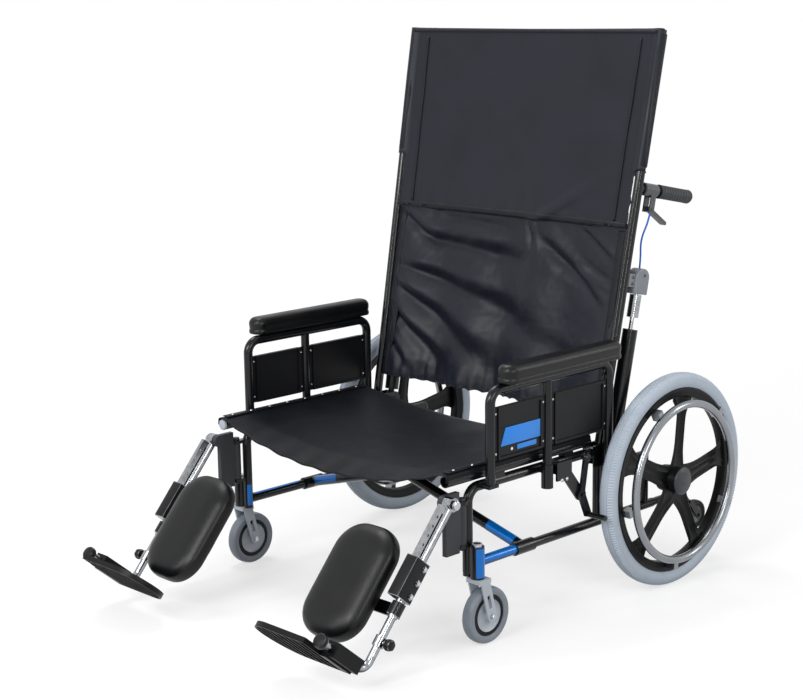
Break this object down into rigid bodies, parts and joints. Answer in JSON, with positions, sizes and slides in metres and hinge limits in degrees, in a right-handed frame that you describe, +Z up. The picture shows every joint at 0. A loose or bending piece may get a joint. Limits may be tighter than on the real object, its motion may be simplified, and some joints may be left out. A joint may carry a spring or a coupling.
{
  "type": "reclining wheelchair",
  "caption": "Wide folding reclining wheelchair with a high sling back, swing-away elevating legrests, lift-off armrests and push handles.",
  "frame": {"origin": "on the floor, under the middle of the chair's bounding box", "axes": "+Z up, the chair faces -Y, its user's left is +X"},
  "size_m": [0.997, 1.3496, 1.298],
  "materials": {
    "black_paint": "gloss black powder coat",
    "steel": "brushed steel",
    "wheel_black": "black moulded composite",
    "grey_tyre": "pale grey solid tyre",
    "grey_cast": "grey cast aluminium",
    "black_plastic": "black moulded plastic",
    "vinyl": "black padded vinyl",
    "grip_rubber": "dark grey rubber",
    "clamp_metal": "satin aluminium",
    "grey_plastic": "grey moulded plastic",
    "cable_blue": "blue cable jacket",
    "chrome_plate": "chrome plate",
    "nylon": "black coated nylon"
  },
  "bodies": {
    "left_frame": {"left_side_frame": "black_paint", "left_rear_axle": "steel", "left_anti_tipper": "black_paint"},
    "left_wheel_lock": {"left_wheel_lock_lever": "black_paint"},
    "left_rear_wheel": {"left_rear_wheel": "wheel_black", "left_rear_tyre": "grey_tyre", "left_handrim": "steel"},
    "left_anti_tip_wheel": {"left_anti_tip_wheel": "grey_tyre"},
    "left_caster_fork": {"left_caster_fork": "grey_cast"},
    "left_caster_wheel": {"left_caster_wheel": "grey_tyre"},
    "left_armrest": {"left_armrest_frame": "black_paint", "left_armrest_panels": "black_plastic", "left_armrest_pad": "vinyl"},
    "left_back": {"left_back_cane": "black_paint", "left_push_grip": "grip_rubber", "left_lever_clamp": "clamp_metal", "left_recline_head": "grey_plastic", "left_recline_cable": "cable_blue", "back_lower": "nylon", "back_upper": "nylon"},
    "left_recline_lever": {"left_recline_lever": "black_plastic"},
    "left_recline_rod": {"left_recline_rod": "chrome_plate"},
    "left_recline_tube": {"left_recline_tube": "black_paint"},
    "left_legrest_hanger": {"left_legrest_hanger": "grey_cast"},
    "left_legrest": {"left_legrest_tube": "chrome_plate"},
    "left_calf_support": {"left_calf_bracket": "black_paint", "left_calf_pad": "vinyl"},
    "left_foot_tube": {"left_foot_tube": "chrome_plate"},
    "left_footplate": {"left_footplate": "black_plastic"},
    "right_frame": {"right_side_frame": "black_paint", "right_rear_axle": "steel", "right_anti_tipper": "black_paint"},
    "right_wheel_lock": {"right_wheel_lock_lever": "black_paint"},
    "right_rear_wheel": {"right_rear_wheel": "wheel_black", "right_rear_tyre": "grey_tyre", "right_handrim": "steel"},
    "right_anti_tip_wheel": {"right_anti_tip_wheel": "grey_tyre"},
    "right_caster_fork": {"right_caster_fork": "grey_cast"},
    "right_caster_wheel": {"right_caster_wheel": "grey_tyre"},
    "right_armrest": {"right_armrest_frame": "black_paint", "right_armrest_panels": "black_plastic", "right_armrest_pad": "vinyl"},
    "right_back": {"right_back_cane": "black_paint", "right_push_grip": "grip_rubber", "right_lever_clamp": "clamp_metal", "right_recline_head": "grey_plastic", "right_recline_cable": "cable_blue"},
    "right_recline_lever": {"right_recline_lever": "black_plastic"},
    "right_recline_rod": {"right_recline_rod": "chrome_plate"},
    "right_recline_tube": {"right_recline_tube": "black_paint"},
    "right_legrest_hanger": {"right_legrest_hanger": "grey_cast"},
    "right_legrest": {"right_legrest_tube": "chrome_plate"},
    "right_calf_support": {"right_calf_bracket": "black_paint", "right_calf_pad": "vinyl"},
    "right_foot_tube": {"right_foot_tube": "chrome_plate"},
    "right_footplate": {"right_footplate": "black_plastic"},
    "cross_a": {"cross_brace_a": "black_paint", "cross_pivot_bolt": "steel"},
    "cross_b": {"cross_brace_b": "black_paint"},
    "seat": {"seat_sling": "nylon"}
  },
  "joints": [
    {"name": "fold", "type": "hinge", "parent": "left_frame", "child": "cross_a", "pos_m": [0.37, 0.00084, 0.174], "axis": [0, 1, 0], "range_deg": [0, 44], "deforming": ["seat_sling", "back_lower", "back_upper"]},
    {"name": "cross_pivot", "type": "hinge", "parent": "cross_a", "child": "cross_b", "pos_m": [0, 0.00084, 0.2739], "axis": [0, 1, 0], "range_deg": [-88, 0]},
    {"name": "right_rail_pivot", "type": "hinge", "parent": "cross_b", "child": "right_frame", "pos_m": [-0.37, 0.00084, 0.174], "axis": [0, 1, 0], "range_deg": [0, 44]},
    {"name": "seat_level", "type": "hinge", "parent": "cross_b", "child": "seat", "pos_m": [0.37, 0.00084, 0.3738], "axis": [0, 1, 0], "range_deg": [0, 44]},
    {"name": "left_wheel_lock", "type": "hinge", "parent": "left_frame", "child": "left_wheel_lock", "pos_m": [0.415, 0.12884, 0.272], "axis": [1, 0, 0], "range_deg": [0, 12]},
    {"name": "left_rear_wheel_spin", "type": "hinge", "parent": "left_frame", "child": "left_rear_wheel", "pos_m": [0.45, 0.42084, 0.254], "axis": [1, 0, 0], "continuous": true},
    {"name": "left_anti_tip_spin", "type": "hinge", "parent": "left_frame", "child": "left_anti_tip_wheel", "pos_m": [0.37, 0.62284, 0.106], "axis": [1, 0, 0], "continuous": true},
    {"name": "left_caster_swivel", "type": "hinge", "parent": "left_frame", "child": "left_caster_fork", "pos_m": [0.398, -0.19316, 0.152], "axis": [0, 0, 1], "continuous": true},
    {"name": "left_caster_spin", "type": "hinge", "parent": "left_caster_fork", "child": "left_caster_wheel", "pos_m": [0.398, -0.16816, 0.0635], "axis": [1, 0, 0], "continuous": true},
    {"name": "left_armrest_lift", "type": "slide", "parent": "left_frame", "child": "left_armrest", "axis": [0, 0, 1], "range_m": [0, 0.045]},
    {"name": "recline", "type": "hinge", "parent": "left_frame", "child": "left_back", "pos_m": [0.37, 0.27627, 0.34217], "axis": [-1, 0, 0], "range_deg": [0, 70]},
    {"name": "left_strut_foot", "type": "hinge", "parent": "left_frame", "child": "left_recline_tube", "pos_m": [0.37, 0.29627, 0.34517], "axis": [-1, 0, 0], "range_deg": [0, 72.8]},
    {"name": "left_strut_head", "type": "hinge", "parent": "left_back", "child": "left_recline_rod", "pos_m": [0.37849, 0.37069, 0.70566], "axis": [-0.9997, 0, 0.0237], "range_deg": [0, 2.8]},
    {"name": "left_recline_squeeze", "type": "hinge", "parent": "left_back", "child": "left_recline_lever", "pos_m": [0.38281, 0.40466, 0.88747], "axis": [0.9997, 0, -0.0237], "range_deg": [0, 22], "stiffness_Nm_per_rad": 0.3},
    {"name": "left_legrest_swing", "type": "hinge", "parent": "left_frame", "child": "left_legrest_hanger", "pos_m": [0.378, -0.21916, 0.318], "axis": [0, 0, 1], "range_deg": [0, 90]},
    {"name": "left_leg_elevate", "type": "hinge", "parent": "left_legrest_hanger", "child": "left_legrest", "pos_m": [0.397, -0.27316, 0.334], "axis": [-1, 0, 0], "range_deg": [0, 48]},
    {"name": "left_calf_swing", "type": "hinge", "parent": "left_legrest", "child": "left_calf_support", "pos_m": [0.397, -0.27316, 0.334], "axis": [0, -0.6534, -0.757], "range_deg": [-110, 0]},
    {"name": "left_foot_length", "type": "slide", "parent": "left_legrest", "child": "left_foot_tube", "axis": [0, 0.6534, 0.757], "range_m": [-0.03, 0.03]},
    {"name": "left_footplate_flip", "type": "hinge", "parent": "left_foot_tube", "child": "left_footplate", "pos_m": [0.397, -0.5293, 0.03726], "axis": [0, 0.757, -0.6534], "range_deg": [0, 88]},
    {"name": "right_wheel_lock", "type": "hinge", "parent": "right_frame", "child": "right_wheel_lock", "pos_m": [-0.415, 0.12884, 0.272], "axis": [1, 0, 0], "range_deg": [0, 12]},
    {"name": "right_rear_wheel_spin", "type": "hinge", "parent": "right_frame", "child": "right_rear_wheel", "pos_m": [-0.45, 0.42084, 0.254], "axis": [1, 0, 0], "continuous": true},
    {"name": "right_anti_tip_spin", "type": "hinge", "parent": "right_frame", "child": "right_anti_tip_wheel", "pos_m": [-0.37, 0.62284, 0.106], "axis": [1, 0, 0], "continuous": true},
    {"name": "right_caster_swivel", "type": "hinge", "parent": "right_frame", "child": "right_caster_fork", "pos_m": [-0.398, -0.19316, 0.152], "axis": [0, 0, 1], "continuous": true},
    {"name": "right_caster_spin", "type": "hinge", "parent": "right_caster_fork", "child": "right_caster_wheel", "pos_m": [-0.398, -0.16816, 0.0635], "axis": [1, 0, 0], "continuous": true},
    {"name": "right_armrest_lift", "type": "slide", "parent": "right_frame", "child": "right_armrest", "axis": [0, 0, 1], "range_m": [0, 0.045]},
    {"name": "right_recline", "type": "hinge", "parent": "right_frame", "child": "right_back", "pos_m": [-0.37, 0.27627, 0.34217], "axis": [-1, 0, 0], "range_deg": [0, 70]},
    {"name": "right_strut_foot", "type": "hinge", "parent": "right_frame", "child": "right_recline_tube", "pos_m": [-0.37, 0.29627, 0.34517], "axis": [-1, 0, 0], "range_deg": [0, 72.8]},
    {"name": "right_strut_head", "type": "hinge", "parent": "right_back", "child": "right_recline_rod", "pos_m": [-0.37849, 0.37069, 0.70566], "axis": [-0.9997, 0, -0.0237], "range_deg": [0, 2.8]},
    {"name": "right_recline_squeeze", "type": "hinge", "parent": "right_back", "child": "right_recline_lever", "pos_m": [-0.38281, 0.40466, 0.88747], "axis": [0.9997, 0, 0.0237], "range_deg": [0, 22], "stiffness_Nm_per_rad": 0.3},
    {"name": "right_legrest_swing", "type": "hinge", "parent": "right_frame", "child": "right_legrest_hanger", "pos_m": [-0.378, -0.21916, 0.318], "axis": [0, 0, -1], "range_deg": [0, 90]},
    {"name": "right_leg_elevate", "type": "hinge", "parent": "right_legrest_hanger", "child": "right_legrest", "pos_m": [-0.397, -0.27316, 0.334], "axis": [-1, 0, 0], "range_deg": [0, 48]},
    {"name": "right_calf_swing", "type": "hinge", "parent": "right_legrest", "child": "right_calf_support", "pos_m": [-0.397, -0.27316, 0.334], "axis": [0, 0.6534, 0.757], "range_deg": [-110, 0]},
    {"name": "right_foot_length", "type": "slide", "parent": "right_legrest", "child": "right_foot_tube", "axis": [0, 0.6534, 0.757], "range_m": [-0.03, 0.03]},
    {"name": "right_footplate_flip", "type": "hinge", "parent": "right_foot_tube", "child": "right_footplate", "pos_m": [-0.397, -0.5293, 0.03726], "axis": [0, -0.757, 0.6534], "range_deg": [0, 88]}
  ],
  "couplings": [
    {"joint": "cross_pivot", "follows": "fold", "ratio": -2},
    {"joint": "right_rail_pivot", "follows": "fold", "ratio": 1},
    {"joint": "seat_level", "follows": "fold", "ratio": 1},
    {"joint": "left_strut_foot", "follows": "recline", "ratio": 1.04},
    {"joint": "left_strut_head", "follows": "recline", "ratio": 0.04},
    {"joint": "right_recline", "follows": "recline", "ratio": 1},
    {"joint": "right_strut_foot", "follows": "recline", "ratio": 1.04},
    {"joint": "right_strut_head", "follows": "recline", "ratio": 0.04}
  ]
}
